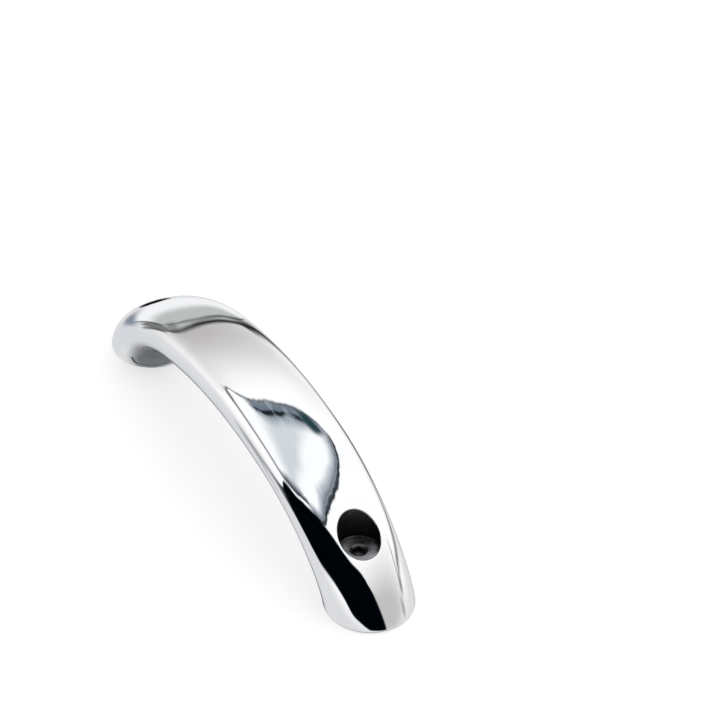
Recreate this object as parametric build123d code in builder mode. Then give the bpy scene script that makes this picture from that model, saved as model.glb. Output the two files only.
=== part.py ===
"""Polished cast grab rail for a boat, with the screws, washers and nuts that hold it to a deck.

The rail arches along X between two round feet that stand on the deck at Z = 0.
The origin is on the deck surface, midway between the two screws.
"""

import os
from math import atan2, cos, radians, sin

from build123d import *

# Driving dimensions, millimetres
overall_length = 181.0
overall_height = 43.0
bar_width = 30.0
bar_thickness = 17.0
foot_width = 28.6
foot_length = 29.8
foot_edge_radius = 0.6
hole_spacing = 138.0
seat_top_z = 16.0
deck_thickness = 18.0

# Side view of the arch: each outline is a shallow crown, then a bend that runs down to the foot
crown_drop = 4.7
crown_end_x = 36.5
under_crown_end_x = 32.0
outer_foot_angle = radians(70.5)
inner_foot_angle = radians(85.0)
outer_bend_reach = 26.0
outer_foot_reach = 13.5
inner_bend_reach = 19.7
inner_foot_reach = 6.0

# Cross-section: a full oval of four equal curves, nearer to a true ellipse at the feet
bar_fullness = 0.676
foot_fullness = 0.552
crown_stations = 3
bend_stations = 7
overlap_stations = 2

# Screw holes through the feet
clearance_hole_diameter = 6.6
counterbore_diameter = 13.4
seat_angle = 90.0
mouth_radius = 0.3

# Sealing gasket let into the underside of each foot
gasket_thickness = 1.2
gasket_margin = 3.2
gasket_hole_diameter = 7.4
gasket_gap = 0.1

# M6 countersunk socket screw
thread_diameter = 6.0
neck_diameter = 5.35
screw_length = 45.0
head_diameter = 12.6
head_rim_height = 0.4
socket_width = 4.0
socket_depth = 2.6
screw_tip_chamfer = 0.7

# Washer and nylon-insert lock nut under the deck
washer_diameter = 18.0
washer_thickness = 1.6
washer_hole_diameter = 6.4
washer_edge_chamfer = 0.3
nut_width = 10.0
nut_hex_height = 4.2
nut_height = 6.0
nut_bore_diameter = 5.6
nut_collar_diameter = 9.0
nut_collar_radius = 0.6
nut_lip_height = 0.4
nut_lip_hole_diameter = 6.6
ring_diameter = 7.4
ring_height = 1.4
ring_hole_diameter = 5.5
part_gap = 0.02

half_length = overall_length / 2
inner_foot_x = half_length - foot_length
seat_radius = counterbore_diameter / 2
head_rim_z = seat_top_z - (counterbore_diameter - head_diameter) / 2 + part_gap
head_top_z = head_rim_z + head_rim_height
screw_end_z = head_top_z - screw_length
washer_bottom_z = -deck_thickness - washer_thickness
nut_bottom_z = washer_bottom_z - nut_height


def bezier(start, start_pull, end_pull, end, t):
    """Point (x, z) at t on a cubic Bezier curve."""
    weights = ((1 - t) ** 3, 3 * t * (1 - t) ** 2, 3 * t**2 * (1 - t), t**3)
    controls = (start, start_pull, end_pull, end)
    x = sum(weight * point[0] for weight, point in zip(weights, controls))
    z = sum(weight * point[1] for weight, point in zip(weights, controls))
    return x, z


def outline(station, top_z, crown_x, foot_x, foot_angle, bend_reach, foot_reach):
    """Point (x, z) of a side outline: station 0 is mid-length, 1 the crown's end, 2 the foot."""
    drop = crown_drop * (crown_x / crown_end_x) ** 2
    if station <= 1:
        return crown_x * station, top_z - drop * station**2
    slope = atan2(2 * drop, crown_x)
    start = (crown_x, top_z - drop)
    start_pull = (start[0] + bend_reach * cos(slope), start[1] - bend_reach * sin(slope))
    end_pull = (foot_x - foot_reach * cos(foot_angle), foot_reach * sin(foot_angle))
    return bezier(start, start_pull, end_pull, (foot_x, 0), station - 1)


def outer_outline(station):
    return outline(
        station,
        overall_height,
        crown_end_x,
        half_length,
        outer_foot_angle,
        outer_bend_reach,
        outer_foot_reach,
    )


def inner_outline(station):
    return outline(
        station,
        overall_height - bar_thickness,
        under_crown_end_x,
        inner_foot_x,
        inner_foot_angle,
        inner_bend_reach,
        inner_foot_reach,
    )


def rail_section(station):
    """Face of the rail's cross-section at a station, on the plane that joins the two outlines there."""
    side = -1 if station < 0 else 1
    outer_x, outer_z = outer_outline(abs(station))
    inner_x, inner_z = inner_outline(abs(station))
    up = Vector(side * (outer_x - inner_x), 0, outer_z - inner_z)
    centre = Vector(side * (outer_x + inner_x) / 2, 0, (outer_z + inner_z) / 2)
    bend = max(abs(station) - 1, 0)
    blend = bend**2 * (3 - 2 * bend)
    half_width = (bar_width + (foot_width - bar_width) * blend) / 2
    half_height = up.length / 2
    fullness = bar_fullness + (foot_fullness - bar_fullness) * bend
    with BuildLine(Plane(origin=centre, x_dir=(0, 1, 0), z_dir=Vector(0, 1, 0).cross(up))) as section:
        quarters = [(half_width, 0), (0, half_height), (-half_width, 0), (0, -half_height)]
        for (x1, y1), (x2, y2) in zip(quarters, quarters[1:] + quarters[:1]):
            start_pull = (x1 + fullness * x2, y1 + fullness * y2)
            end_pull = (x2 + fullness * x1, y2 + fullness * y1)
            Bezier((x1, y1), start_pull, end_pull, (x2, y2))
    return Face(section.wire())


# Stations from a little aft of mid-length to the forward foot
stations = [index / crown_stations for index in range(-overlap_stations, crown_stations)]
stations += [1 + index / bend_stations for index in range(bend_stations + 1)]
ends = {"forward": 1, "aft": -1}


def hole_x(side):
    return side * hole_spacing / 2


def foot_centre_x(side):
    return side * (half_length - foot_length / 2)


def is_mouth(edge):
    """Whether an edge lies round the open end of a counterbore."""
    centre = edge.center()
    beside_hole = abs(centre.X - hole_x(1)) < seat_radius
    return beside_hole and abs(centre.Y) < seat_radius and centre.Z > seat_top_z + mouth_radius


# The rail: one casting, symmetrical about mid-length.
# The loft runs past mid-length before it is split, so that the two halves meet smoothly.
with BuildPart() as rail_casting:
    loft([rail_section(station) for station in stations], clean=False)
    split(bisect_by=Plane.YZ)
    fillet(rail_casting.edges().group_by(Axis.Z)[0], foot_edge_radius)
    with Locations((hole_x(1), 0, seat_top_z)):
        CounterSinkHole(clearance_hole_diameter / 2, seat_radius, counter_sink_angle=seat_angle)
    fillet(rail_casting.edges().filter_by(is_mouth), mouth_radius)
    with BuildSketch(Plane.XY):
        with Locations((foot_centre_x(1), 0)):
            Ellipse(foot_length / 2 - gasket_margin, foot_width / 2 - gasket_margin)
    extrude(amount=gasket_thickness, mode=Mode.SUBTRACT)
    mirror(about=Plane.YZ)
rail_casting.part.label = "rail_casting"


def make_gasket(side):
    """Rubber gasket that fills the recess under one foot."""
    inset = gasket_margin + gasket_gap
    with BuildPart() as gasket:
        with BuildSketch(Plane.XY):
            with Locations((foot_centre_x(side), 0)):
                Ellipse(foot_length / 2 - inset, foot_width / 2 - inset)
            with Locations((hole_x(side), 0)):
                Circle(gasket_hole_diameter / 2, mode=Mode.SUBTRACT)
        extrude(amount=gasket_thickness)
    return gasket.part


def make_screw(side):
    """Countersunk socket screw, drawn as turned: head, neck in the foot, thread in the deck and nut."""
    neck, thread, head = neck_diameter / 2, thread_diameter / 2, head_diameter / 2
    cone_end_z = head_rim_z - (head - neck)
    deck_z = -deck_thickness
    with BuildPart() as screw:
        with BuildSketch(Plane.XZ.move(Location((hole_x(side), 0, 0)))):
            with BuildLine():
                Polyline(
                    (0, head_top_z),
                    (head, head_top_z),
                    (head, head_rim_z),
                    (neck, cone_end_z),
                    (neck, 0),
                    (thread, 0),
                    (thread, deck_z),
                    (neck, deck_z),
                    (neck, screw_end_z + screw_tip_chamfer),
                    (neck - screw_tip_chamfer, screw_end_z),
                    (0, screw_end_z),
                    close=True,
                )
            make_face()
        revolve(axis=Axis((hole_x(side), 0, 0), (0, 0, 1)))
        with BuildSketch(Plane.XY.offset(head_top_z)):
            with Locations((hole_x(side), 0)):
                RegularPolygon(socket_width / 2, 6, major_radius=False)
        extrude(amount=-socket_depth, mode=Mode.SUBTRACT)
    return screw.part


def make_washer(side):
    """Wide flat washer against the underside of the deck."""
    with BuildPart() as washer:
        with BuildSketch(Plane.XY.offset(washer_bottom_z)):
            with Locations((hole_x(side), 0)):
                Circle(washer_diameter / 2)
                Circle(washer_hole_diameter / 2, mode=Mode.SUBTRACT)
        extrude(amount=washer_thickness)
        rim = washer.edges().filter_by(GeomType.CIRCLE).group_by(SortBy.RADIUS)[-1]
        chamfer(rim, washer_edge_chamfer)
    return washer.part


def make_lock_nut(side):
    """Hexagon nut with a round collar rolled over a nylon ring."""
    with BuildPart() as nut:
        with BuildSketch(Plane.XY.offset(washer_bottom_z)):
            with Locations((hole_x(side), 0)):
                RegularPolygon(nut_width / 2, 6, major_radius=False)
        extrude(amount=-nut_hex_height)
        with BuildSketch(Plane.XY.offset(nut_bottom_z)):
            with Locations((hole_x(side), 0)):
                Circle(nut_collar_diameter / 2)
        extrude(amount=nut_height - nut_hex_height)
        fillet(nut.edges().group_by(Axis.Z)[0], nut_collar_radius)
        with BuildSketch(Plane.XY.offset(nut_bottom_z)):
            with Locations((hole_x(side), 0)):
                Circle(nut_lip_hole_diameter / 2)
        extrude(amount=nut_lip_height, mode=Mode.SUBTRACT)
        with BuildSketch(Plane.XY.offset(nut_bottom_z + nut_lip_height)):
            with Locations((hole_x(side), 0)):
                Circle(ring_diameter / 2)
        extrude(amount=ring_height, mode=Mode.SUBTRACT)
        with Locations((hole_x(side), 0, washer_bottom_z)):
            Hole(nut_bore_diameter / 2)
    return nut.part


def make_nylon_ring(side):
    """Nylon ring that grips the thread inside the nut's collar."""
    with BuildPart() as ring:
        with BuildSketch(Plane.XY.offset(nut_bottom_z + nut_lip_height + part_gap)):
            with Locations((hole_x(side), 0)):
                Circle(ring_diameter / 2 - part_gap)
                Circle(ring_hole_diameter / 2, mode=Mode.SUBTRACT)
        extrude(amount=ring_height - 2 * part_gap)
    return ring.part


makers = {
    "foot_gasket": make_gasket,
    "deck_screw": make_screw,
    "deck_washer": make_washer,
    "lock_nut": make_lock_nut,
    "nylon_ring": make_nylon_ring,
}

os.makedirs("parts", exist_ok=True)
export_step(rail_casting.part, "parts/rail_casting.step")
for piece, make in makers.items():
    for end, side in ends.items():
        solid = make(side)
        solid.label = f"{piece}_{end}"
        export_step(solid, f"parts/{solid.label}.step")
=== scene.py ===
"""Looks of a polished stainless grab rail on two feet, with its fasteners below the deck line."""

from math import atan2, cos, pi, radians, sin, tan

import bmesh
import bpy
import numpy as np
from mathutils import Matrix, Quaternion, Vector


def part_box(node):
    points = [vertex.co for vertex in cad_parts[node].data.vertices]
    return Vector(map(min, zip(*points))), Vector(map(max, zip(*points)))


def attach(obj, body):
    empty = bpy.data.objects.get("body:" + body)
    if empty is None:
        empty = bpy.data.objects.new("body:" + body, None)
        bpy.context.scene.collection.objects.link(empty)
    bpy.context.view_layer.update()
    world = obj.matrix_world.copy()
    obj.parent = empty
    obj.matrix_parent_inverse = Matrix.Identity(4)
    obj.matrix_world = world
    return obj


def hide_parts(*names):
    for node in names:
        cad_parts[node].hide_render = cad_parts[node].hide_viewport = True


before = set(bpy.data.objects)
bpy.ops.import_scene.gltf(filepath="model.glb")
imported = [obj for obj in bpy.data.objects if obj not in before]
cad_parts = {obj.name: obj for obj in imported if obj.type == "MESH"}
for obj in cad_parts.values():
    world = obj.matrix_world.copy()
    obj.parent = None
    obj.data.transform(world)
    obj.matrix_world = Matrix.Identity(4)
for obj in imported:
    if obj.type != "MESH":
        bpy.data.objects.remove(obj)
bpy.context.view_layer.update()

MM = 0.001
ENDS = {"forward": 1, "aft": -1}

# Sizes read from the frame
rail_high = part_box("rail_casting")[1]
crown_z = rail_high.z
bar_width = 2 * rail_high.y
screw_low, screw_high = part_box("deck_screw_forward")
hole_x = (screw_low.x + screw_high.x) / 2
head_top_z = screw_high.z
screw_end_z = screw_low.z
head_radius = (screw_high.x - screw_low.x) / 2
gasket_low, gasket_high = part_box("foot_gasket_forward")
washer_low, washer_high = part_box("deck_washer_forward")
nut_low, nut_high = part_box("lock_nut_forward")
ring_low, ring_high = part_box("nylon_ring_forward")

# The casting's own shape, as the design gives it
half_length = 90.5 * MM
bar_thickness = 17.0 * MM
foot_width = 28.6 * MM
foot_length = 29.8 * MM
foot_edge_radius = 0.6 * MM
crown_drop = 4.7 * MM
crown_end_x = 36.5 * MM
under_crown_end_x = 32.0 * MM
outer_foot_angle = radians(70.5)
inner_foot_angle = radians(85.0)
outer_bend_reach = 26.0 * MM
outer_foot_reach = 13.5 * MM
inner_bend_reach = 19.7 * MM
inner_foot_reach = 6.0 * MM
bar_fullness = 0.676
foot_fullness = 0.552
counterbore_radius = 6.7 * MM
clearance_radius = 3.3 * MM
mouth_radius = 0.3 * MM
seat_top_z = 16.0 * MM
gasket_margin = 3.2 * MM

# How finely the skin is divided: the hole's patch takes as many points round its edge as the foot does,
# and the foot's rounded edge takes the place of the last few rows
AROUND = 208
CROWN_ROWS = 36
BEND_ROWS = 115
FOOT_ROWS = 4
PATCH_COLUMNS = 52
PATCH_ROWS = AROUND // 2 - PATCH_COLUMNS

# Rings of points across the parts of the hole and of the foot
PATCH_RINGS = 15
MOUTH_RINGS = 9
BORE_RINGS = 12
SEAT_RINGS = 5
HOLE_RINGS = 8
EDGE_RINGS = 6
CEILING_RINGS = 8
RIM_RINGS = 4

# Points round each fastener, and how the pieces are welded and shaded
SCREW_COLUMNS = 96
WASHER_COLUMNS = 96
NUT_COLUMNS = 144
RING_COLUMNS = 72
GASKET_COLUMNS = 128
WELD_DISTANCE = 0.5e-6
SHARP_ANGLE = radians(28)

# Place of the bored steel, near black as painted shade, in a piece's list of materials
BORE_SHADE = 1


# ---------------------------------------------------------------- shape of the casting


def bezier(start, start_pull, end_pull, end, t):
    """Points on a cubic Bezier curve."""
    t = t[..., None]
    near = (1 - t) ** 3 * start + 3 * t * (1 - t) ** 2 * start_pull
    return near + 3 * t**2 * (1 - t) * end_pull + t**3 * end


def outline(station, top_z, crown_x, foot_x, foot_angle, bend_reach, foot_reach):
    """Side outline (x, z): station 0 is mid-length, 1 the crown's end and 2 the foot."""
    drop = crown_drop * (crown_x / crown_end_x) ** 2
    slope = atan2(2 * drop, crown_x)
    start = np.array((crown_x, top_z - drop))
    start_pull = start + bend_reach * np.array((cos(slope), -sin(slope)))
    end = np.array((foot_x, 0.0))
    end_pull = end + foot_reach * np.array((-cos(foot_angle), sin(foot_angle)))
    crown = np.stack((crown_x * station, top_z - drop * station**2), axis=-1)
    bend = bezier(start, start_pull, end_pull, end, station - 1)
    return np.where(station[..., None] <= 1, crown, bend)


def skin(station, turn):
    """Points on the casting's skin. turn is 0 at +Y, 1 on top, 2 at -Y and 3 underneath."""
    station, turn = np.broadcast_arrays(station, turn)
    outer = outline(
        station, crown_z, crown_end_x, half_length, outer_foot_angle, outer_bend_reach, outer_foot_reach
    )
    inner = outline(
        station,
        crown_z - bar_thickness,
        under_crown_end_x,
        half_length - foot_length,
        inner_foot_angle,
        inner_bend_reach,
        inner_foot_reach,
    )
    bend = np.clip(station - 1, 0, 1)
    blend = bend**2 * (3 - 2 * bend)
    half_width = (bar_width + (foot_width - bar_width) * blend) / 2
    fullness = bar_fullness + (foot_fullness - bar_fullness) * bend
    quarter = np.floor(turn)
    t = turn - quarter
    first = (1 - t) ** 3 + 3 * t * (1 - t) ** 2 + 3 * t**2 * (1 - t) * fullness
    second = 3 * t * (1 - t) ** 2 * fullness + 3 * t**2 * (1 - t) + t**3
    corner = quarter * pi / 2
    across = first * np.cos(corner) - second * np.sin(corner)
    up = (first * np.sin(corner) + second * np.cos(corner))[..., None]
    side = (outer + inner) / 2 + up * (outer - inner) / 2
    return np.stack((side[..., 0], half_width * across, side[..., 1]), axis=-1)


def skin_normal(station, turn):
    step = 1e-4
    along = skin(station + step, turn) - skin(station - step, turn)
    around = skin(station, turn + step) - skin(station, turn - step)
    normal = np.cross(around, along)
    return normal / np.linalg.norm(normal, axis=-1, keepdims=True)


def ball_centre(station, turn, radius):
    """Centre of a ball that touches the skin from inside."""
    return skin(station, turn) - radius * skin_normal(station, turn)


def foot_contact(turn):
    """Stations, between 1.8 and 2, where a ball that rolls inside the foot's edge leaves the skin."""
    low = np.full_like(turn, 1.8)
    high = np.full_like(turn, 2.0)
    for _ in range(40):
        middle = (low + high) / 2
        above = ball_centre(middle, turn, foot_edge_radius)[..., 2] > foot_edge_radius
        low = np.where(above, middle, low)
        high = np.where(above, high, middle)
    return (low + high) / 2


def mouth_contact(angle, station, turn):
    """Stations and turns where a ball that rolls round the counterbore's mouth leaves the skin.

    station and turn come in as a first guess, which Newton's method then improves.
    """
    reach = counterbore_radius + mouth_radius
    wanted = np.stack((hole_x + reach * np.cos(angle), reach * np.sin(angle)), axis=-1)
    step = 1e-5
    for _ in range(15):
        here = ball_centre(station, turn, mouth_radius)[..., :2]
        by_station = (ball_centre(station + step, turn, mouth_radius)[..., :2] - here) / step
        by_turn = (ball_centre(station, turn + step, mouth_radius)[..., :2] - here) / step
        slopes = np.stack((by_station, by_turn), axis=-1)
        change = np.linalg.solve(slopes, (wanted - here)[..., None])[..., 0]
        station = station + change[..., 0]
        turn = turn + change[..., 1]
    return station, turn


def arc_rings(centre, start, end, radius, count):
    """Rings of points on arcs about each centre, from direction start to direction end."""
    spread = np.arccos(np.clip((start * end).sum(-1, keepdims=True), -1, 1))
    rings = []
    for share in np.linspace(0, 1, count):
        direction = (np.sin((1 - share) * spread) * start + np.sin(share * spread) * end) / np.sin(spread)
        rings.append(centre + radius * direction)
    return rings


# ---------------------------------------------------------------- mesh helpers


class Patchwork:
    """Grids of points that meet edge to edge, welded into one mesh."""

    def __init__(self):
        self.points = []
        self.faces = []
        self.materials = []
        self.count = 0

    def grid(self, rings, material=0, skip=None, loop=False):
        """Adds closed rings of points, one after another. loop joins the last ring to the first."""
        rings = np.asarray(rings, float)
        lines, columns = rings.shape[:2]
        self.points.append(rings.reshape(-1, 3))
        for i in range(lines if loop else lines - 1):
            this_line = i * columns
            next_line = (i + 1) % lines * columns
            for j in range(columns):
                if skip and skip(i, j):
                    continue
                beside = (j + 1) % columns
                corners = (this_line + j, this_line + beside, next_line + beside, next_line + j)
                self.faces.append([self.count + corner for corner in corners])
                self.materials.append(material)
        self.count += lines * columns

    def cap(self, ring, point, material=0):
        """Closes a ring with a fan of triangles round one point."""
        ring = np.asarray(ring, float)
        self.points.append(np.vstack((ring, point)))
        for j in range(len(ring)):
            corners = (j, (j + 1) % len(ring), len(ring))
            self.faces.append([self.count + corner for corner in corners])
            self.materials.append(material)
        self.count += len(ring) + 1

    def mirrored(self):
        """Adds the same patches again on the other side of X = 0."""
        points = np.vstack(self.points)
        self.points = [points, points * (-1, 1, 1)]
        self.faces += [[self.count + corner for corner in face] for face in self.faces]
        self.materials += list(self.materials)
        self.count *= 2

    def build(self, name, materials):
        """Welds the patches into an object, smooth except where its faces meet sharply."""
        mesh = bpy.data.meshes.new(name)
        mesh.from_pydata(np.vstack(self.points).tolist(), [], self.faces)
        mesh.polygons.foreach_set("material_index", self.materials)
        mesh.polygons.foreach_set("use_smooth", [True] * len(self.faces))
        for material in materials:
            mesh.materials.append(material)
        work = bmesh.new()
        work.from_mesh(mesh)
        bmesh.ops.remove_doubles(work, verts=work.verts, dist=WELD_DISTANCE)
        bmesh.ops.recalc_face_normals(work, faces=work.faces)
        work.to_mesh(mesh)
        work.free()
        mesh.set_sharp_from_angle(angle=SHARP_ANGLE)
        piece = bpy.data.objects.new(name, mesh)
        bpy.context.scene.collection.objects.link(piece)
        return piece


def even_angles(count):
    """Directions spaced evenly round a full turn."""
    return np.linspace(0, 2 * pi, count, endpoint=False)


def circle(radius, z, centre_x, angles):
    """Ring of points; radius may be one number or one for each point."""
    x = centre_x + radius * np.cos(angles)
    return np.stack((x, radius * np.sin(angles), np.full_like(x, z)), axis=-1)


def turned(profile, centre_x, angles):
    """Ring of points for each (radius, z) of a profile."""
    return [circle(radius, z, centre_x, angles) for radius, z in profile]


def between(first, last, count):
    """Rings of points that go evenly from the first ring to the last."""
    return [first + share * (last - first) for share in np.linspace(0, 1, count)]


def quarter_arc(centre_radius, centre_z, radius, start, count):
    """Profile points on a quarter circle that turns clockwise from start, in degrees."""
    angles = [radians(start - 90 * share) for share in np.linspace(0, 1, count)]
    return [(centre_radius + radius * cos(angle), centre_z + radius * sin(angle)) for angle in angles]


def hexagon(apothem, angles):
    """Distance from a hexagon's centre to its side, in each direction."""
    return apothem / np.cos((angles + pi / 6) % (pi / 3) - pi / 6)


def fit_piece(piece, node):
    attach(piece, "root")
    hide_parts(node)


def fit_fastener(piece, node):
    """Fits a piece that a solid deck would keep out of the casting's reflections."""
    fit_piece(piece, node)
    piece.visible_glossy = False


# ---------------------------------------------------------------- materials


def new_material(name, colour, metallic=0.0, roughness=0.5):
    material = bpy.data.materials.new(name)
    material.use_nodes = True
    shader = material.node_tree.nodes["Principled BSDF"]
    shader.inputs["Base Color"].default_value = (*colour, 1)
    shader.inputs["Metallic"].default_value = metallic
    shader.inputs["Roughness"].default_value = roughness
    return material


def add_node(tree, kind, links=(), **settings):
    """New node with its inputs linked, or set where a value isn't a socket."""
    node = tree.nodes.new(kind)
    for name, value in settings.items():
        setattr(node, name, value)
    for key, value in dict(links).items():
        if isinstance(value, bpy.types.NodeSocket):
            tree.links.new(value, node.inputs[key])
        else:
            node.inputs[key].default_value = value
    return node


def add_noise(tree, scale, detail, stretch=(1, 1, 1)):
    """Noise in the object's own metres, stretched along an axis where wanted."""
    place = add_node(tree, "ShaderNodeTexCoord")
    mapping = add_node(tree, "ShaderNodeMapping", {"Vector": place.outputs["Object"], "Scale": stretch})
    links = {"Vector": mapping.outputs["Vector"], "Scale": scale, "Detail": detail}
    return add_node(tree, "ShaderNodeTexNoise", links).outputs["Fac"]


def grey(shade):
    return (shade, shade, shade)


def add_range(tree, value, low, high, to_low, to_high, smooth=False):
    """Value that goes from to_low at low to to_high at high, and stays level outside them."""
    links = {"Value": value, "From Min": low, "From Max": high, "To Min": to_low, "To Max": to_high}
    kind = "SMOOTHSTEP" if smooth else "LINEAR"
    return add_node(tree, "ShaderNodeMapRange", links, interpolation_type=kind).outputs["Result"]


def add_mix(tree, factor, first, second):
    """Colour that goes from first to second."""
    node = add_node(tree, "ShaderNodeMix", data_type="RGBA")
    for key, value in (("Factor_Float", factor), ("A_Color", first), ("B_Color", second)):
        socket = next(s for s in node.inputs if s.identifier == key)
        if isinstance(value, bpy.types.NodeSocket):
            tree.links.new(value, socket)
        elif key == "Factor_Float":
            socket.default_value = value
        else:
            socket.default_value = (*value, 1)
    return next(s for s in node.outputs if s.identifier == "Result_Color")


def dress(material, colour, roughness, height, strength, depth):
    """Links a material's colour, roughness and a bump with a depth in millimetres to its shader."""
    tree = material.node_tree
    shader = tree.nodes["Principled BSDF"]
    links = {"Height": height, "Strength": strength, "Distance": depth * MM}
    bump = add_node(tree, "ShaderNodeBump", links)
    tree.links.new(colour, shader.inputs["Base Color"])
    tree.links.new(roughness, shader.inputs["Roughness"])
    tree.links.new(bump.outputs["Normal"], shader.inputs["Normal"])
    return shader


def polished_steel():
    """Mirror-polished cast stainless steel, with faint buffing haze and casting waviness."""
    material = new_material("polished_steel", (0.93, 0.935, 0.95), 1.0, 0.03)
    tree = material.node_tree
    tint = add_range(tree, add_noise(tree, 60, 3), 0.35, 0.65, 0, 1)
    colour = add_mix(tree, tint, (0.915, 0.92, 0.935), (0.95, 0.952, 0.962))
    roughness = add_range(tree, add_noise(tree, 220, 5, (1, 3, 3)), 0.3, 0.7, 0.012, 0.05)
    dress(material, colour, roughness, add_noise(tree, 85, 1), 0.35, 0.04)
    return material


def bored_steel_painted_shade():
    """Drilled and countersunk steel that the polishing wheel can't reach; near black as painted shade."""
    material = new_material("bored_steel_painted_shade", (0.1, 0.1, 0.105), 1.0, 0.4)
    tree = material.node_tree
    marks = add_noise(tree, 900, 4, (0.15, 0.15, 4))
    # Drill marks, in a near-black colour that is painted shade in the hollows
    colour = add_mix(tree, marks, (0.06, 0.06, 0.066), (0.17, 0.17, 0.18))
    dress(material, colour, add_range(tree, marks, 0.3, 0.7, 0.28, 0.5), marks, 0.4, 0.05)
    return material


def turned_steel():
    """Machined fastener steel, with fine turning marks round its axis."""
    material = new_material("turned_steel", (0.6, 0.6, 0.61), 1.0, 0.3)
    tree = material.node_tree
    place = add_node(tree, "ShaderNodeTexCoord")
    wave = {
        "Vector": place.outputs["Generated"],
        "Scale": 22,
        "Distortion": 1.5,
        "Detail": 3,
        "Detail Scale": 2,
    }
    rings = add_node(tree, "ShaderNodeTexWave", wave, wave_type="RINGS", rings_direction="Z")
    grain = add_noise(tree, 500, 5)
    colour = add_mix(tree, grain, (0.55, 0.55, 0.56), (0.8, 0.8, 0.81))
    roughness = add_range(tree, grain, 0.3, 0.7, 0.22, 0.4)
    shader = dress(material, colour, roughness, rings.outputs["Fac"], 0.3, 0.04)
    tangent = add_node(tree, "ShaderNodeTangent", direction_type="RADIAL", axis="Z")
    tree.links.new(tangent.outputs["Tangent"], shader.inputs["Tangent"])
    shader.inputs["Anisotropic"].default_value = 0.6
    return material


def gasket_rubber():
    """Matt black rubber, slightly dusty and finely pitted."""
    material = new_material("gasket_rubber", (0.02, 0.02, 0.02), 0.0, 0.75)
    tree = material.node_tree
    dust = add_noise(tree, 260, 6)
    colour = add_mix(tree, dust, (0.012, 0.012, 0.013), (0.045, 0.044, 0.043))
    roughness = add_range(tree, dust, 0.3, 0.7, 0.6, 0.9)
    dress(material, colour, roughness, add_noise(tree, 2600, 2), 0.5, 0.08)
    return material


def moulded_nylon():
    """Natural white nylon, a little translucent, with a faint moulded grain."""
    material = new_material("moulded_nylon", (0.8, 0.81, 0.8), 0.0, 0.45)
    tree = material.node_tree
    cloud = add_noise(tree, 400, 3)
    colour = add_mix(tree, cloud, (0.74, 0.76, 0.76), (0.86, 0.86, 0.83))
    roughness = add_range(tree, cloud, 0.3, 0.7, 0.36, 0.52)
    shader = dress(material, colour, roughness, add_noise(tree, 3200, 2), 0.25, 0.03)
    shader.inputs["Subsurface Weight"].default_value = 0.2
    shader.inputs["Subsurface Radius"].default_value = (1 * MM, 1 * MM, 1 * MM)
    return material


steel = polished_steel()
bore_painted_shade = bored_steel_painted_shade()
fastener_steel = turned_steel()
rubber = gasket_rubber()
nylon = moulded_nylon()


# ---------------------------------------------------------------- the casting


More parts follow.
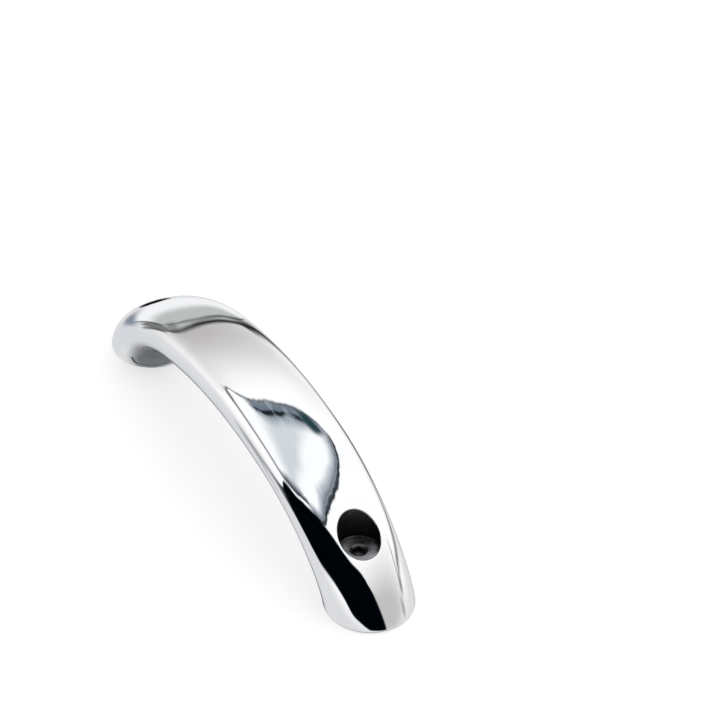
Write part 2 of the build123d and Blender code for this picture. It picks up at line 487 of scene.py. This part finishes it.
def make_rail():
    """Forward half of the casting with its counterbore, then the same again aft."""
    half = Patchwork()
    turns = np.arange(AROUND) * 4 / AROUND
    crown_stations = np.arange(CROWN_ROWS) / CROWN_ROWS
    bend_stations = 1 + np.arange(BEND_ROWS - FOOT_ROWS) / BEND_ROWS
    stations = np.concatenate((crown_stations, bend_stations))
    contact = foot_contact(turns)
    rows = [skin(np.full_like(turns, station), turns) for station in stations]
    rows.append(skin((contact + stations[-1]) / 2, turns))
    rows.append(skin(contact, turns))

    # The skin, except for a patch round the counterbore between whole rows and columns
    bend_x = skin(bend_stations, 1.0)[:, 0]
    middle_row = CROWN_ROWS + int(np.argmin(np.abs(bend_x - hole_x)))
    first_row = middle_row - PATCH_ROWS // 2
    last_row = first_row + PATCH_ROWS
    first_column = (AROUND // 2 - PATCH_COLUMNS) // 2
    last_column = first_column + PATCH_COLUMNS
    half.grid(
        rows,
        skip=lambda i, j: first_row <= i < last_row and first_column <= j < last_column,
    )

    # The patch: rings that go from its border to the mouth, closer together near the mouth
    edge = [(i, first_column) for i in range(first_row, last_row)]
    edge += [(last_row, j) for j in range(first_column, last_column)]
    edge += [(i, last_column) for i in range(last_row, first_row, -1)]
    edge += [(first_row, j) for j in range(last_column, first_column, -1)]
    edge_stations = np.array([stations[i] for i, j in edge])
    edge_turns = np.array([turns[j] for i, j in edge])
    border = skin(edge_stations, edge_turns)
    angles = np.arctan2(border[:, 1], border[:, 0] - hole_x)
    guessed_stations = stations[middle_row] + 0.12 * np.cos(angles)
    guessed_turns = 1 - 0.3 * np.sin(angles)
    mouth_stations, mouth_turns = mouth_contact(angles, guessed_stations, guessed_turns)
    patch = []
    for share in np.linspace(0, 1, PATCH_RINGS) ** 0.8:
        ring_stations = edge_stations + share * (mouth_stations - edge_stations)
        ring_turns = edge_turns + share * (mouth_turns - edge_turns)
        patch.append(skin(ring_stations, ring_turns))
    half.grid(patch)

    # The rounded mouth, the bore, its countersunk seat and the clearance hole
    inward = np.stack((-np.cos(angles), -np.sin(angles), np.zeros_like(angles)), axis=-1)
    mouth_ball = ball_centre(mouth_stations, mouth_turns, mouth_radius)
    mouth_normal = skin_normal(mouth_stations, mouth_turns)
    lip = arc_rings(mouth_ball, mouth_normal, inward, mouth_radius, MOUTH_RINGS)
    half.grid(lip)
    seat_end_z = seat_top_z - (counterbore_radius - clearance_radius)
    recess_z = gasket_high.z
    seat_top = circle(counterbore_radius, seat_top_z, hole_x, angles)
    seat_end = circle(clearance_radius, seat_end_z, hole_x, angles)
    hole_end = circle(clearance_radius, recess_z, hole_x, angles)
    # The bore, its seat and the hole are near black, as painted shade inside the hollow
    half.grid(between(lip[-1], seat_top, BORE_RINGS), material=BORE_SHADE)
    half.grid(between(seat_top, seat_end, SEAT_RINGS), material=BORE_SHADE)
    half.grid(between(seat_end, hole_end, HOLE_RINGS), material=BORE_SHADE)

    # The foot's rounded edge
    foot_ball = ball_centre(contact, turns, foot_edge_radius)
    down = np.broadcast_to((0.0, 0.0, -1.0), foot_ball.shape)
    foot_normal = skin_normal(contact, turns)
    foot_arc = arc_rings(foot_ball, foot_normal, down, foot_edge_radius, EDGE_RINGS)
    half.grid(foot_arc)

    # The underside: the recess for the gasket and the flat rim round it, near black as painted shade.
    # The bore's points and the foot's both go round once, so each meets the recess at its own angles.
    foot_x = half_length - foot_length / 2
    start = int(np.argmin(np.abs(angles)))
    turning = np.roll(angles, -start)
    direction = 1 if turning[1] > turning[0] else -1
    around = direction * np.arange(AROUND) * 2 * pi / AROUND

    def recess_ring(z):
        x = foot_x + (foot_length / 2 - gasket_margin) * np.cos(around)
        y = (foot_width / 2 - gasket_margin) * np.sin(around)
        return np.stack((x, y, np.full_like(x, z)), axis=-1)

    from_hole = np.roll(hole_end, -start, axis=0)
    half.grid(between(from_hole, recess_ring(recess_z), CEILING_RINGS), material=BORE_SHADE)
    half.grid([recess_ring(z) for z in (recess_z, recess_z / 2, 0.0)], material=BORE_SHADE)
    rim = foot_arc[-1]
    start = int(np.argmin(np.abs(np.arctan2(rim[:, 1], rim[:, 0] - foot_x))))
    rim = np.roll(rim, -start, axis=0)
    if (rim[1, 1] - rim[0, 1]) * direction < 0:
        rim = np.roll(rim[::-1], 1, axis=0)
    half.grid(between(recess_ring(0.0), rim, RIM_RINGS), material=BORE_SHADE)

    half.mirrored()
    rail = half.build("grab_rail", [steel, bore_painted_shade])
    fit_piece(rail, "rail_casting")


make_rail()


# ---------------------------------------------------------------- fasteners


def make_screw(end, side):
    """Countersunk socket screw with a real thread, from the socket's floor over the head to the tip."""
    angles = even_angles(SCREW_COLUMNS)
    rim_height = 0.4 * MM
    edge = 0.15 * MM
    neck_radius = 2.675 * MM
    neck_end_z = 0.2 * MM
    thread_top_z = 0.0
    thread_radius = 2.99 * MM
    root_radius = 2.42 * MM
    pitch = 1.0 * MM
    rows_per_turn = 10
    flank_slope = 2.6
    root_share = 0.15
    run_out_slope = 1.2
    tip_length = 0.7 * MM
    socket_apothem = 2.0 * MM
    socket_depth = 2.6 * MM
    socket_mouth = 2.9 * MM
    mouth_slope = tan(radians(60))
    drill_depth = 0.5 * MM
    socket_side = hexagon(socket_apothem, angles)
    floor_z = head_top_z - socket_depth
    rim_z = head_top_z - rim_height
    neck_top_z = rim_z - (head_radius - neck_radius)

    # The socket: a floor that the drill has dished, six sides and a conical mouth
    socket = [(0.35 * socket_apothem, floor_z - 0.65 * drill_depth), (0.8 * socket_apothem, floor_z)]
    socket.append((socket_side, floor_z))
    for depth in (1.6, 0.9, 0.45, 0.35, 0.25, 0.15, 0.05):
        cone = socket_mouth - depth * MM * mouth_slope
        socket.append((np.maximum(socket_side, cone), head_top_z - depth * MM))
    socket.append((socket_mouth, head_top_z))

    # The head and the plain neck
    face_width = head_radius - edge - socket_mouth
    body = [(socket_mouth + share * face_width, head_top_z) for share in (0, 0.15, 0.4, 0.7, 1)]
    body.append((head_radius - 0.3 * edge, head_top_z - 0.3 * edge))
    body += [(head_radius, head_top_z - edge), (head_radius, rim_z)]
    body += [(neck_radius, neck_top_z), (neck_radius, neck_end_z)]

    # The thread, which runs out at the neck and at the tip
    rows = int(round((thread_top_z - screw_end_z) / pitch * rows_per_turn))
    for z in np.linspace(thread_top_z, screw_end_z, rows + 1):
        climb = (z / pitch - angles / (2 * pi)) % 1
        crest = np.clip(flank_slope * np.abs(climb - 0.5) - root_share, 0, 1)
        flank = root_radius + crest * (thread_radius - root_radius)
        tip = neck_radius - tip_length + (z - screw_end_z)
        start = neck_radius + run_out_slope * (thread_top_z - z)
        body.append((np.minimum(np.minimum(flank, tip), start), z))

    x = side * hole_x
    socket_rings = turned(socket, x, angles)
    body_rings = turned(body, x, angles)
    screw = Patchwork()
    # The socket and its drilled floor are near black, as painted shade in the hollow
    screw.grid(socket_rings, material=BORE_SHADE)
    screw.grid(body_rings)
    screw.cap(socket_rings[0], (x, 0, floor_z - drill_depth), material=BORE_SHADE)
    screw.cap(body_rings[-1], (x, 0, screw_end_z))
    piece = screw.build(f"screw_{end}", [fastener_steel, bore_painted_shade])
    fit_fastener(piece, f"deck_screw_{end}")


def make_washer(end, side):
    """Blanked washer: a bevelled upper edge, a rounded lower edge and a slightly rounded hole."""
    low, high = washer_low.z, washer_high.z
    radius = (washer_high.x - washer_low.x) / 2
    hole = 3.2 * MM
    edge = 0.3 * MM
    profile = [(hole, high - edge / 2), (hole + edge / 4, high - edge / 8), (hole + edge / 2, high)]
    profile += [(radius - edge, high), (radius, high - edge)]
    profile += quarter_arc(radius - edge, low + edge, edge, 0, 6)
    profile += [(hole + edge / 2, low), (hole + edge / 4, low + edge / 8), (hole, low + edge / 2)]
    washer = Patchwork()
    washer.grid(turned(profile, side * hole_x, even_angles(WASHER_COLUMNS)), loop=True)
    piece = washer.build(f"washer_{end}", [fastener_steel])
    fit_fastener(piece, f"deck_washer_{end}")


def make_lock_nut(end, side):
    """Hexagon nut with chamfered corners and a collar rolled over its nylon ring."""
    angles = even_angles(NUT_COLUMNS)
    top, bottom = nut_high.z, nut_low.z
    apothem = min(nut_high.x - nut_low.x, nut_high.y - nut_low.y) / 2
    sides = hexagon(apothem, angles)
    hexagon_bottom = top - 4.2 * MM
    corner_start = apothem * 0.97
    corner_slope = tan(radians(30))
    bore = 2.8 * MM
    bore_edge_width = 0.35 * MM
    bore_edge_depth = 0.4 * MM
    collar = 4.5 * MM
    collar_edge = 0.6 * MM
    lip = 0.4 * MM
    lip_hole = 3.3 * MM
    pocket = 3.7 * MM
    pocket_top = bottom + lip + 1.4 * MM
    edge = 0.1 * MM

    profile = [(bore, top - bore_edge_depth), (bore + bore_edge_width, top), (corner_start, top)]
    depths = [depth * MM for depth in (0.1, 0.2, 0.3, 0.4, 0.5, 0.7)]
    corners = [(np.minimum(sides, corner_start + depth / corner_slope), depth) for depth in depths]
    profile += [(radius, top - depth) for radius, depth in corners]
    profile += [(radius, hexagon_bottom + depth) for radius, depth in reversed(corners)]
    profile += [(collar + edge, hexagon_bottom), (collar, hexagon_bottom - edge)]
    profile += quarter_arc(collar - collar_edge, bottom + collar_edge, collar_edge, 0, 7)
    profile += [(lip_hole + edge, bottom), (lip_hole, bottom + edge), (lip_hole, bottom + lip)]
    profile += [(pocket, bottom + lip), (pocket, pocket_top), (bore, pocket_top)]
    nut = Patchwork()
    nut.grid(turned(profile, side * hole_x, angles), loop=True)
    piece = nut.build(f"nut_{end}", [fastener_steel])
    fit_fastener(piece, f"lock_nut_{end}")


def make_nylon_ring(end, side):
    """Nylon ring with rounded edges."""
    radius = (ring_high.x - ring_low.x) / 2
    hole = 2.75 * MM
    edge = 0.2 * MM
    low, high = ring_low.z, ring_high.z
    profile = quarter_arc(radius - edge, high - edge, edge, 90, 5)
    profile += quarter_arc(radius - edge, low + edge, edge, 0, 5)
    profile += quarter_arc(hole + edge, low + edge, edge, -90, 5)
    profile += quarter_arc(hole + edge, high - edge, edge, -180, 5)
    ring = Patchwork()
    ring.grid(turned(profile, side * hole_x, even_angles(RING_COLUMNS)), loop=True)
    piece = ring.build(f"ring_{end}", [nylon])
    fit_fastener(piece, f"nylon_ring_{end}")


def make_gasket(end, side):
    """Oval gasket with softly rounded edges and a hole for the screw."""
    angles = even_angles(GASKET_COLUMNS)
    centre_x = side * (gasket_low.x + gasket_high.x) / 2
    long_radius = (gasket_high.x - gasket_low.x) / 2
    short_radius = (gasket_high.y - gasket_low.y) / 2
    hole = 3.7 * MM
    edge = 0.2 * MM
    middle = 0.3 * edge
    low, high = gasket_low.z, gasket_high.z

    def oval(inset, z):
        x = centre_x + (long_radius - inset) * np.cos(angles)
        return np.stack((x, (short_radius - inset) * np.sin(angles), np.full_like(x, z)), axis=-1)

    def hole_ring(inset, z):
        return circle(hole + inset, z, side * hole_x, angles)

    rings = [oval(edge, high), oval(middle, high - middle), oval(0, high - edge)]
    rings += [oval(0, low + edge), oval(middle, low + middle)]
    rings += between(oval(edge, low), hole_ring(edge, low), 8)
    rings += [hole_ring(middle, low + middle), hole_ring(0, low + edge)]
    rings += [hole_ring(0, high - edge), hole_ring(middle, high - middle)]
    rings += between(hole_ring(edge, high), oval(edge, high), 8)[:-1]
    gasket = Patchwork()
    gasket.grid(rings, loop=True)
    piece = gasket.build(f"gasket_{end}", [rubber])
    fit_fastener(piece, f"foot_gasket_{end}")


for end, side in ENDS.items():
    make_gasket(end, side)
    make_screw(end, side)
    make_washer(end, side)
    make_lock_nut(end, side)
    make_nylon_ring(end, side)


# ---------------------------------------------------------------- studio

STAGE_RADIUS = 4.0

# The sky is painted in degrees: elevation above the horizon, and azimuth clockwise, as seen from
# above, from this direction, which is itself in degrees from +Y towards +X
SKY_START = -136


def sky_math(tree, operation, *values):
    links = dict(enumerate(values))
    return add_node(tree, "ShaderNodeMath", links, operation=operation).outputs[0]


def product(tree, *values):
    result = values[0]
    for value in values[1:]:
        result = sky_math(tree, "MULTIPLY", result, value)
    return result


def fade(tree, value, start, end, first=0, last=1):
    """Goes smoothly from first at start to last at end."""
    return add_range(tree, value, start, end, first, last, smooth=True)


def sky_curve(tree, turn, points):
    """Elevation as a smooth curve through (azimuth, elevation) points; turn is 0 to 1 for a full turn."""
    node = add_node(tree, "ShaderNodeFloatCurve", {"Value": turn})
    curve = node.mapping.curves[0]
    for azimuth, elevation in points[1:-1]:
        curve.points.new(azimuth / 360, elevation / 180 + 0.5)
    for point, (azimuth, elevation) in zip(curve.points, points):
        point.location = (azimuth / 360, elevation / 180 + 0.5)
    node.mapping.update()
    return product(tree, sky_math(tree, "SUBTRACT", node.outputs["Value"], 0.5), 180)


def above(tree, value, border, softness):
    """1 above a border and 0 below it."""
    gap = sky_math(tree, "SUBTRACT", value, border)
    return fade(tree, gap, -softness, softness)


def window(tree, value, start, full, last, end):
    """1 from full to last, fading to 0 at start and end."""
    return product(tree, fade(tree, value, start, full), fade(tree, value, last, end, 1, 0))


def soft_patch(tree, azimuth, elevation, centre, reach, core=0.0):
    """1 in the core of an oval part of the sky, fading to 0 at its edge."""
    x = sky_math(tree, "DIVIDE", sky_math(tree, "SUBTRACT", azimuth, centre[0]), reach[0])
    y = sky_math(tree, "DIVIDE", sky_math(tree, "SUBTRACT", elevation, centre[1]), reach[1])
    square = sky_math(tree, "ADD", product(tree, x, x), product(tree, y, y))
    return fade(tree, sky_math(tree, "SQRT", square), core, 1, 1, 0)


def near_line(tree, value, line, reach):
    """1 on a line in the sky, fading to 0 at reach degrees on either side of it."""
    gap = sky_math(tree, "ABSOLUTE", sky_math(tree, "SUBTRACT", value, line))
    return fade(tree, gap, 0, reach, 1, 0)


def line_part(tree, value, line, reach, along, span, strength):
    """Part of a line in the sky; span is the window of the other coordinate that it fills."""
    return product(tree, near_line(tree, value, line, reach), window(tree, along, *span), strength)


def frame_ramp(tree, rise, stops):
    """Colour and cover across the panel's frame; each stop is (degrees of rise, colour, cover)."""
    low, reach = -2, 14
    node = add_node(tree, "ShaderNodeValToRGB", {"Fac": add_range(tree, rise, low, low + reach, 0, 1)})
    elements = node.color_ramp.elements
    for degrees, colour, cover in stops[1:-1]:
        elements.new((degrees - low) / reach)
    for element, (degrees, colour, cover) in zip(elements, stops):
        element.position = (degrees - low) / reach
        element.color = (*colour, cover)
    return node.outputs["Color"], node.outputs["Alpha"]


def paint_surroundings(tree, azimuth, elevation, turn):
    """Table below the horizon and walls above it, with a dark seam between them on the +Y side."""
    # Straight down, the table darkens as painted shade under the arch
    table = fade(tree, elevation, -72, -46)
    colour = add_mix(tree, table, (0.16, 0.17, 0.18), (0.76, 0.765, 0.77))
    colour = add_mix(tree, fade(tree, elevation, -18, 12), colour, grey(1.06))
    far_wall = soft_patch(tree, azimuth, elevation, (51, 20), (66, 37), 0.1)
    colour = add_mix(tree, far_wall, colour, (0.53, 0.51, 0.505))
    right_wall = soft_patch(tree, azimuth, elevation, (208, 16), (66, 42), 0.3)
    colour = add_mix(tree, right_wall, colour, (0.58, 0.57, 0.56))

    # The seam is broad where it lies low and thin where it climbs, and a crack crosses its upper end
    seam = sky_curve(
        tree,
        turn,
        [(0, -50), (80, -36), (104, -17), (121, -8), (138, 3.5), (154, 11), (170, 8), (360, -50)],
    )
    crack = sky_curve(tree, turn, [(0, -50), (146, 21), (153, 19), (163, 9), (169, -8), (360, -60)])
    broad_seam = line_part(tree, elevation, seam, 16, azimuth, (76, 90, 98, 114), 0.95)
    colour = add_mix(tree, broad_seam, colour, grey(0.08))
    thin_seam = line_part(tree, elevation, seam, 4.5, azimuth, (90, 108, 146, 172), 0.85)
    colour = add_mix(tree, thin_seam, colour, grey(0.1))
    thin_crack = line_part(tree, elevation, crack, 3.5, azimuth, (146, 152, 167, 172), 0.7)
    colour = add_mix(tree, thin_crack, colour, grey(0.1))
    for centre, reach in (((159, 9), (6, 7)), ((170, 1), (5, 14))):
        smudge = product(tree, soft_patch(tree, azimuth, elevation, centre, reach, 0.2), 0.6)
        colour = add_mix(tree, smudge, colour, grey(0.14))
    return colour


def paint_far_end(tree, colour, azimuth, elevation, turn):
    """Past the aft foot: a doubled dark arch over a grey-green band and a pale table, painted shade
    below.
    """
    cool = soft_patch(tree, azimuth, elevation, (34, -36), (30, 20), 0.4)
    colour = add_mix(tree, cool, colour, (0.70, 0.715, 0.745))
    outer = sky_curve(
        tree,
        turn,
        [(0, -60), (23, -22), (27, 6), (31, 14.6), (43, 20.7), (53, 20.9), (64, 17.5), (78, 9.8),
         (87, -10), (94, -40), (360, -60)],
    )
    inner = sky_curve(
        tree,
        turn,
        [(0, -60), (35, -16), (37.5, 5), (48, 15.4), (55, 16.6), (74, 9), (81, 0), (85, -16), (360, -60)],
    )

    # What is inside the arch: pale low down and grey-green above, with a dark corner and bend
    inside = product(tree, above(tree, outer, elevation, 0.8), fade(tree, azimuth, 24, 27))
    inside = product(tree, inside, fade(tree, elevation, -22, -15))
    height = fade(tree, elevation, -6, 5)
    band = add_mix(tree, height, (0.93, 0.94, 0.95), (0.52, 0.545, 0.535))
    colour = add_mix(tree, inside, colour, band)
    corner = soft_patch(tree, azimuth, elevation, (31.5, 2), (8, 20), 0.5)
    colour = add_mix(tree, product(tree, inside, corner), colour, (0.2, 0.2, 0.205))
    bend = soft_patch(tree, azimuth, elevation, (41, 15.5), (14, 7), 0.3)
    colour = add_mix(tree, product(tree, inside, bend, 0.8), colour, (0.22, 0.225, 0.225))

    # The arch's two lines, each with a left leg, and the right leg that they share
    left_leg = (-20, -13, 4, 12)
    low_end = sky_math(tree, "MAXIMUM", fade(tree, elevation, -18, -9), fade(tree, azimuth, 68, 76))
    inner_shade = fade(tree, azimuth, 62, 72, 0.6, 0.85)
    inner_line = product(tree, near_line(tree, elevation, inner, 1.9), inner_shade, low_end)
    inner_leg = line_part(tree, azimuth, 37, 2.2, elevation, left_leg, 0.9)
    colour = add_mix(tree, sky_math(tree, "MAXIMUM", inner_line, inner_leg), colour, grey(0.045))
    outer_shade = fade(tree, azimuth, 45, 66, 0.8, 1)
    outer_line = product(tree, near_line(tree, elevation, outer, 2.6), outer_shade, low_end)
    outer_leg = line_part(tree, azimuth, 26, 3.2, elevation, left_leg, 0.85)
    colour = add_mix(tree, sky_math(tree, "MAXIMUM", outer_line, outer_leg), colour, grey(0.02))
    slant = sky_math(tree, "SUBTRACT", 84.4, product(tree, elevation, 0.42))
    right_leg = line_part(tree, azimuth, slant, 7, elevation, (-22, -9, 8, 13), 0.97)
    colour = add_mix(tree, right_leg, colour, grey(0.015))
    left_shade = soft_patch(tree, azimuth, elevation, (44, -18.5), (20, 8), 0.2)
    colour = add_mix(tree, left_shade, colour, (0.26, 0.29, 0.35))

    # Painted shade on the table under the arch: dark low down, and near black just under the arch
    low_table_shade = soft_patch(tree, azimuth, elevation, (62, -62), (56, 30))
    colour = add_mix(tree, low_table_shade, colour, (0.13, 0.135, 0.15))
    under_arch_shade = soft_patch(tree, azimuth, elevation, (60, -48), (18, 11), 0.2)
    return add_mix(tree, under_arch_shade, colour, (0.03, 0.032, 0.04))


def paint_panel(tree, colour, azimuth, elevation, turn, angle, ripple):
    """Overhead panel: white on the camera's right, bluish on the left, inside a dark frame."""
    frame_line = sky_curve(
        tree,
        turn,
        [(0, 31), (5, 32), (19.5, 48.3), (32, 55.3), (47, 58.6), (63, 58.4), (90, 53.2), (106, 47.7),
         (112, 46.5), (126, 52), (139, 60.5), (176, 71.5), (211, 74), (241, 71.5), (254, 68), (271, 62.3),
         (285, 60), (308, 44), (333, 34.5), (360, 31)],
    )
    rise = sky_math(tree, "SUBTRACT", elevation, frame_line)
    panel = above(tree, rise, 0, 0.6)
    colour = add_mix(tree, panel, colour, (1.05, 1.06, 1.07))

    # The bluish part has straight edges in degrees away from straight up, towards +X and +Y
    fall = sky_math(tree, "SUBTRACT", 90, elevation)
    east = product(tree, fall, sky_math(tree, "SINE", angle))
    north = product(tree, fall, sky_math(tree, "COSINE", angle))
    left_edge, upper_edge, lower_edge = (
        sky_math(tree, "ADD", product(tree, east, along_x), product(tree, north, along_y))
        for along_x, along_y in ((0.776, 0.632), (0.807, 0.59), (0.989, 0.146))
    )
    right_edge = sky_math(tree, "MAXIMUM", upper_edge, lower_edge)
    left_share = fade(tree, left_edge, -36, -16)
    right_share = fade(tree, right_edge, -6, 2, 1, 0)
    colour = add_mix(tree, product(tree, left_share, right_share, panel), colour, (0.68, 0.73, 0.755))

    # A dark blob, parted from the flag by a thin streak of the panel
    streak = sky_curve(
        tree,
        turn,
        [(0, 20), (260, 58), (273, 62.5), (286, 61), (307, 52.5), (315, 44.5), (330, 33), (360, 20)],
    )
    blob_end = sky_curve(
        tree, turn, [(0, 20), (275, 63), (300, 67), (312, 67), (325, 60), (334, 46), (360, 20)]
    )
    blob_start = sky_math(tree, "ADD", streak, 1.5)
    blob_full = sky_math(tree, "ADD", streak, 3.5)
    blob = product(
        tree,
        fade(tree, elevation, blob_start, blob_full),
        fade(tree, elevation, blob_full, blob_end, 1, 0),
        window(tree, azimuth, 284, 294, 325, 334),
    )
    colour = add_mix(tree, blob, colour, (0.03, 0.045, 0.075))

    # The frame is a broad band towards -X and a thin line with a grey edge towards +X
    rough_rise = sky_math(tree, "ADD", rise, ripple)
    band, cover = frame_ramp(
        tree,
        rough_rise,
        [
            (-1, (0.05, 0.06, 0.07), 0),
            (0, (0.05, 0.06, 0.07), 0.9),
            (1.2, (0.16, 0.2, 0.25), 0.95),
            (3.2, (0.13, 0.165, 0.22), 0.95),
            (4, (0.012, 0.015, 0.02), 1),
            (5.2, (0.02, 0.025, 0.035), 1),
            (6.2, (0.2, 0.24, 0.29), 0.8),
            (11, (0.4, 0.46, 0.52), 0),
        ],
    )
    flecks = add_range(tree, ripple, 0.05, 0.3, 0, 0.45)
    band = add_mix(tree, flecks, band, (0.42, 0.52, 0.58))
    colour = add_mix(tree, product(tree, cover, window(tree, azimuth, 16, 34, 104, 116)), colour, band)
    teal = soft_patch(tree, azimuth, elevation, (100, 54), (12, 5), 0.3)
    colour = add_mix(tree, teal, colour, (0.02, 0.055, 0.065))
    stretched = product(tree, rough_rise, fade(tree, azimuth, 150, 235, 1, 1.3))
    edge, cover = frame_ramp(
        tree,
        stretched,
        [
            (-0.9, (0.02, 0.025, 0.035), 0),
            (0, (0.015, 0.02, 0.03), 1),
            (1.8, (0.03, 0.04, 0.055), 0.97),
            (2.6, (0.2, 0.24, 0.29), 0.88),
            (3.4, (0.08, 0.1, 0.13), 0.9),
            (5, (0.22, 0.26, 0.32), 0.85),
            (8.5, (0.42, 0.47, 0.53), 0.6),
            (12, (0.6, 0.65, 0.7), 0),
        ],
    )
    colour = add_mix(tree, product(tree, cover, window(tree, azimuth, 104, 116, 285, 305)), colour, edge)

    # The frame's tip, on the camera's left: a thin line, and beside it a broad soft one
    tip_line = product(tree, near_line(tree, rise, 0, 2), fade(tree, azimuth, 20, 34, 0.9, 0))
    colour = add_mix(tree, tip_line, colour, (0.04, 0.045, 0.05))
    near_tip = sky_math(
        tree,
        "MAXIMUM",
        window(tree, azimuth, 318, 330, 360, 361),
        fade(tree, azimuth, 4, 10, 1, 0),
    )
    side_line = product(tree, near_line(tree, rise, 0, 6.5), near_tip, 0.85)
    return add_mix(tree, side_line, colour, (0.05, 0.05, 0.055))


def paint_flag(tree, colour, azimuth, elevation, turn):
    """Black flag on the camera's side, with a thin grey tail that dips below the horizon."""
    top = sky_curve(
        tree,
        turn,
        [(0, -18), (12, -30), (214, 30), (220, 39), (225, 48.5), (239, 53.5), (259, 61), (276, 62),
         (290, 59.5), (307, 51.5), (315, 43.5), (329, 29), (332, 20), (336, 6), (346, -7), (360, -18)],
    )
    bottom = sky_curve(
        tree,
        turn,
        [(0, -25), (12, -38), (216, -16), (246, -9), (272, -0.5), (283, 1), (293, 8), (300, 8),
         (308, 4.5), (326, -7), (340, -11.5), (360, -26)],
    )
    flag = product(tree, above(tree, top, elevation, 1.2), above(tree, elevation, bottom, 2))

    # The flag starts at its near side; its tail fades and goes on past the sky's start
    near_side = above(tree, azimuth, 219, 2)
    tail = fade(tree, azimuth, 334, 354, 1, 0.5)
    past_start = fade(tree, azimuth, 0, 11, 0.5, 0)
    seen = sky_math(tree, "MAXIMUM", product(tree, near_side, tail), past_start)
    return add_mix(tree, product(tree, flag, seen), colour, (0.0, 0.0014, 0.0026))


def make_sky():
    """Studio: pale walls and table, a framed panel overhead and a black flag by the camera."""
    world = bpy.data.worlds.new("studio")
    world.use_nodes = True
    bpy.context.scene.world = world
    tree = world.node_tree
    tree.nodes.clear()
    place = add_node(tree, "ShaderNodeTexCoord").outputs["Generated"]
    x, y, z = add_node(tree, "ShaderNodeSeparateXYZ", {"Vector": place}).outputs
    angle = sky_math(tree, "ARCTAN2", x, y)
    from_start = sky_math(tree, "SUBTRACT", sky_math(tree, "DEGREES", angle), SKY_START)
    azimuth = sky_math(tree, "FLOORED_MODULO", from_start, 360)
    turn = sky_math(tree, "DIVIDE", azimuth, 360)
    elevation = sky_math(tree, "DEGREES", sky_math(tree, "ARCSINE", z))
    noise = add_node(tree, "ShaderNodeTexNoise", {"Vector": place, "Scale": 14, "Detail": 4})
    ripple = product(tree, sky_math(tree, "SUBTRACT", noise.outputs["Fac"], 0.5), 2.5)
    colour = paint_surroundings(tree, azimuth, elevation, turn)
    colour = paint_far_end(tree, colour, azimuth, elevation, turn)
    colour = paint_panel(tree, colour, azimuth, elevation, turn, angle, ripple)
    colour = paint_flag(tree, colour, azimuth, elevation, turn)
    background = add_node(tree, "ShaderNodeBackground", {"Color": colour, "Strength": 1.0})
    output = add_node(tree, "ShaderNodeOutputWorld")
    tree.links.new(background.outputs["Background"], output.inputs["Surface"])


def make_floor():
    """Plain pale floor at the deck line, with soft contact shadows."""
    bpy.ops.mesh.primitive_circle_add(vertices=128, radius=STAGE_RADIUS, fill_type="NGON")
    floor = bpy.context.object
    floor.name = "floor"
    material = new_material("pale_floor", grey(0.72), 0.0, 0.8)
    shader = material.node_tree.nodes["Principled BSDF"]
    shader.inputs["Emission Color"].default_value = (1, 1, 1, 1)
    shader.inputs["Emission Strength"].default_value = 0.55
    shader.inputs["Specular IOR Level"].default_value = 0.1
    floor.data.materials.append(material)
    floor.visible_glossy = False


def make_backdrop():
    """Pale backdrop that only the camera sees, past the floor's edge."""
    bpy.ops.mesh.primitive_uv_sphere_add(segments=64, ring_count=32, radius=STAGE_RADIUS)
    backdrop = bpy.context.object
    backdrop.name = "backdrop"
    material = bpy.data.materials.new("pale_backdrop")
    material.use_nodes = True
    tree = material.node_tree
    tree.nodes.clear()
    emission = add_node(tree, "ShaderNodeEmission", {"Color": (1, 1, 1, 1), "Strength": 0.97})
    output = add_node(tree, "ShaderNodeOutputMaterial")
    tree.links.new(emission.outputs["Emission"], output.inputs["Surface"])
    backdrop.data.materials.append(material)
    backdrop.visible_diffuse = False
    backdrop.visible_glossy = False
    backdrop.visible_transmission = False
    backdrop.visible_shadow = False


def make_softbox():
    """Large soft lamp overhead that lifts the floor without showing in the steel."""
    lamp = bpy.data.lights.new("softbox", "AREA")
    lamp.shape = "DISK"
    lamp.size = 1.4
    lamp.energy = 2.0
    softbox = bpy.data.objects.new("softbox", lamp)
    softbox.location = (-0.4, 0.3, 1.3)
    softbox.rotation_mode = "QUATERNION"
    softbox.rotation_quaternion = (-softbox.location).to_track_quat("-Z", "Y")
    softbox.visible_glossy = False
    bpy.context.scene.collection.objects.link(softbox)


make_sky()
make_floor()
make_backdrop()
make_softbox()


# ---------------------------------------------------------------- camera


def make_camera():
    """Camera above the near foot, a little to one side, as the product view has it."""
    azimuth, elevation, roll = radians(59.671), radians(37.908), radians(0.459)
    distance = 0.82205
    target = Vector((-0.00872, 0.04536, 0.02))
    camera = bpy.data.objects.new("camera", bpy.data.cameras.new("camera"))
    camera.data.sensor_width = 36.0
    camera.data.lens = 122.47
    back = Vector((sin(azimuth) * cos(elevation), -cos(azimuth) * cos(elevation), sin(elevation)))
    camera.location = target + back * distance
    camera.rotation_mode = "QUATERNION"
    level = (-back).to_track_quat("-Z", "Y")
    camera.rotation_quaternion = Quaternion(back, roll) @ level
    bpy.context.scene.collection.objects.link(camera)
    bpy.context.scene.camera = camera


make_camera()
bpy.context.scene.view_settings.view_transform = "Standard"
